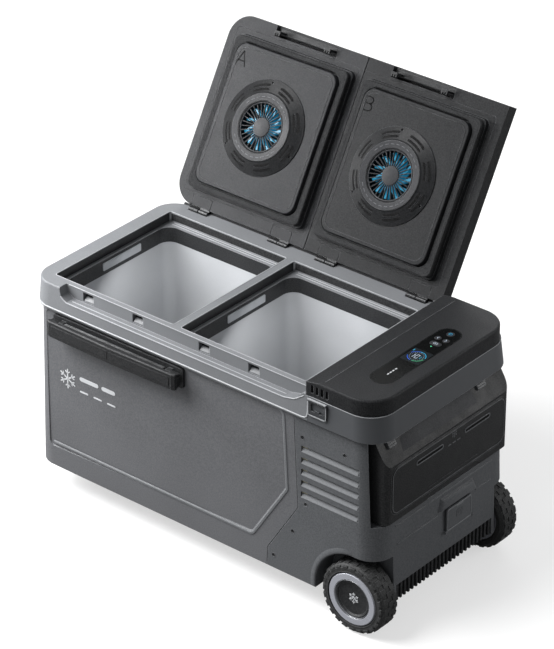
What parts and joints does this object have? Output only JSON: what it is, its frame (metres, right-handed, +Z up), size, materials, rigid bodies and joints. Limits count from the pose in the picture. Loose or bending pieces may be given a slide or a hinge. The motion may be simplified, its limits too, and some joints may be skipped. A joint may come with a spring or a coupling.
{
  "type": "wheeled dual zone compressor cooler",
  "caption": "Wheeled compressor cooler with two lidded compartments, control console, carry handles, tow handle and removable battery pack.",
  "frame": {"origin": "on the ground plane under the centre of the body", "axes": "+X from the tow-handle end to the wheel and console end, +Y from front to back (hinge side), +Z up"},
  "size_m": [0.907, 0.6679, 0.8339],
  "materials": {
    "casing_grey": "fine moulded texture",
    "cover_grey": "fine moulded texture",
    "rim_grey": "satin moulding",
    "lid_grey": "fine moulded texture",
    "lid_dark": "fine moulded texture",
    "console_dark": "satin",
    "black_plastic": "satin",
    "liner_pale": "smooth, wipe clean",
    "collar_dark": "satin",
    "foam": "closed-cell foam",
    "lens": "frosted",
    "gloss_black": "polished",
    "screen": "lit display",
    "board_green": "circuit board",
    "steel": "brushed",
    "dark_steel": "powder coat",
    "compressor_black": "paint",
    "copper": "drawn tube",
    "aluminium_fin": "mill finish",
    "rubber_black": "matt",
    "tyre_black": "matt",
    "hub_grey": "satin",
    "fan_blue": "translucent blue"
  },
  "bodies": {
    "cabinet": {"outer_casing": "casing_grey", "machine_cover": "cover_grey", "top_rim": "rim_grey", "base_pan": "black_plastic", "foam_insulation": "foam", "liner_a": "liner_pale", "liner_b": "liner_pale", "collar_a": "collar_dark", "collar_b": "collar_dark", "light_lenses": "lens", "evaporator_coils": "copper", "control_console": "console_dark", "display_glass": "gloss_black", "screen_module": "screen", "control_board": "board_green", "bottle_opener": "dark_steel", "compressor": "compressor_black", "condenser": "aluminium_fin", "condenser_fan_shroud": "black_plastic", "refrigerant_lines": "copper", "power_board": "board_green", "battery_connector": "black_plastic", "cover_screws": "dark_steel", "carry_plates": "black_plastic", "pivot_pins": "steel", "hinge_leaves": "dark_steel", "tow_guide": "black_plastic", "wheel_axle": "steel", "stand_foot": "black_plastic", "foot_pads": "rubber_black", "bottom_grille": "black_plastic", "power_inlet": "black_plastic"},
    "lid_a": {"lid_a_shell": "lid_grey", "lid_a_liner": "lid_grey", "lid_a_gasket": "rubber_black", "lid_a_grille": "console_dark", "lid_a_hardware": "dark_steel"},
    "lid_b": {"lid_b_shell": "lid_dark", "lid_b_liner": "lid_dark", "lid_b_gasket": "rubber_black", "lid_b_grille": "console_dark", "lid_b_hardware": "dark_steel"},
    "latch_a": {"latch_a": "black_plastic"},
    "latch_b": {"latch_b": "black_plastic"},
    "fan_a": {"fan_a_rotor": "fan_blue"},
    "fan_b": {"fan_b_rotor": "fan_blue"},
    "grip_front": {"carry_grip_front": "black_plastic"},
    "grip_rear": {"carry_grip_rear": "black_plastic"},
    "tow_handle": {"tow_handle": "aluminium_fin"},
    "wheel_front": {"wheel_front_tyre": "tyre_black", "wheel_front_rim": "hub_grey"},
    "wheel_rear": {"wheel_rear_tyre": "tyre_black", "wheel_rear_rim": "hub_grey"},
    "battery": {"battery_pack": "black_plastic"},
    "inlet_flap": {"inlet_flap": "cover_grey"},
    "condenser_fan": {"condenser_fan_rotor": "black_plastic"},
    "button_power": {"button_power": "gloss_black"},
    "button_up": {"button_up": "gloss_black"},
    "button_down": {"button_down": "gloss_black"},
    "button_zone": {"button_zone": "gloss_black"}
  },
  "joints": [
    {"name": "lid_a_close", "type": "hinge", "parent": "cabinet", "child": "lid_a", "pos_m": [-0.2534, 0.1989, 0.4822], "axis": [1, 0, 0], "range_deg": [0, 120.45]},
    {"name": "lid_b_close", "type": "hinge", "parent": "cabinet", "child": "lid_b", "pos_m": [0.09, 0.1989, 0.4822], "axis": [1, 0, 0], "range_deg": [0, 120.45]},
    {"name": "latch_a_engage", "type": "hinge", "parent": "lid_a", "child": "latch_a", "pos_m": [-0.23575, 0.41439, 0.8172], "axis": [1, 0, 0], "range_deg": [0, 10]},
    {"name": "latch_b_engage", "type": "hinge", "parent": "lid_b", "child": "latch_b", "pos_m": [0.058, 0.41439, 0.8172], "axis": [1, 0, 0], "range_deg": [0, 10]},
    {"name": "fan_a_spin", "type": "hinge", "parent": "lid_a", "child": "fan_a", "pos_m": [-0.249, 0.28667, 0.66898], "axis": [0, -0.8621, 0.5068], "continuous": true},
    {"name": "fan_b_spin", "type": "hinge", "parent": "lid_b", "child": "fan_b", "pos_m": [0.077, 0.28667, 0.66898], "axis": [0, -0.8621, 0.5068], "continuous": true},
    {"name": "grip_front_lift", "type": "hinge", "parent": "cabinet", "child": "grip_front", "pos_m": [-0.207, -0.218, 0.404], "axis": [-1, 0, 0], "range_deg": [0, 80]},
    {"name": "grip_rear_lift", "type": "hinge", "parent": "cabinet", "child": "grip_rear", "pos_m": [-0.207, 0.218, 0.404], "axis": [1, 0, 0], "range_deg": [0, 80]},
    {"name": "tow_handle_extend", "type": "slide", "parent": "cabinet", "child": "tow_handle", "axis": [-1, 0, 0], "range_m": [0, 0.26]},
    {"name": "wheel_front_spin", "type": "hinge", "parent": "cabinet", "child": "wheel_front", "pos_m": [0.38, -0.189, 0.075], "axis": [0, 1, 0], "continuous": true},
    {"name": "wheel_rear_spin", "type": "hinge", "parent": "cabinet", "child": "wheel_rear", "pos_m": [0.38, 0.189, 0.075], "axis": [0, 1, 0], "continuous": true},
    {"name": "battery_remove", "type": "slide", "parent": "cabinet", "child": "battery", "axis": [1, 0, 0], "range_m": [0, 0.07]},
    {"name": "inlet_flap_open", "type": "hinge", "parent": "cabinet", "child": "inlet_flap", "pos_m": [0.4376, 0.039, 0.142], "axis": [0, 1, 0], "range_deg": [0, 100]},
    {"name": "condenser_fan_spin", "type": "hinge", "parent": "cabinet", "child": "condenser_fan", "pos_m": [0.314, -0.1775, 0.318], "axis": [0, 1, 0], "continuous": true},
    {"name": "button_power_press", "type": "slide", "parent": "cabinet", "child": "button_power", "axis": [0, 0, -1], "range_m": [0, 0.0008]},
    {"name": "button_up_press", "type": "slide", "parent": "cabinet", "child": "button_up", "axis": [0, 0, -1], "range_m": [0, 0.0008]},
    {"name": "button_down_press", "type": "slide", "parent": "cabinet", "child": "button_down", "axis": [0, 0, -1], "range_m": [0, 0.0008]},
    {"name": "button_zone_press", "type": "slide", "parent": "cabinet", "child": "button_zone", "axis": [0, 0, -1], "range_m": [0, 0.0008]}
  ]
}
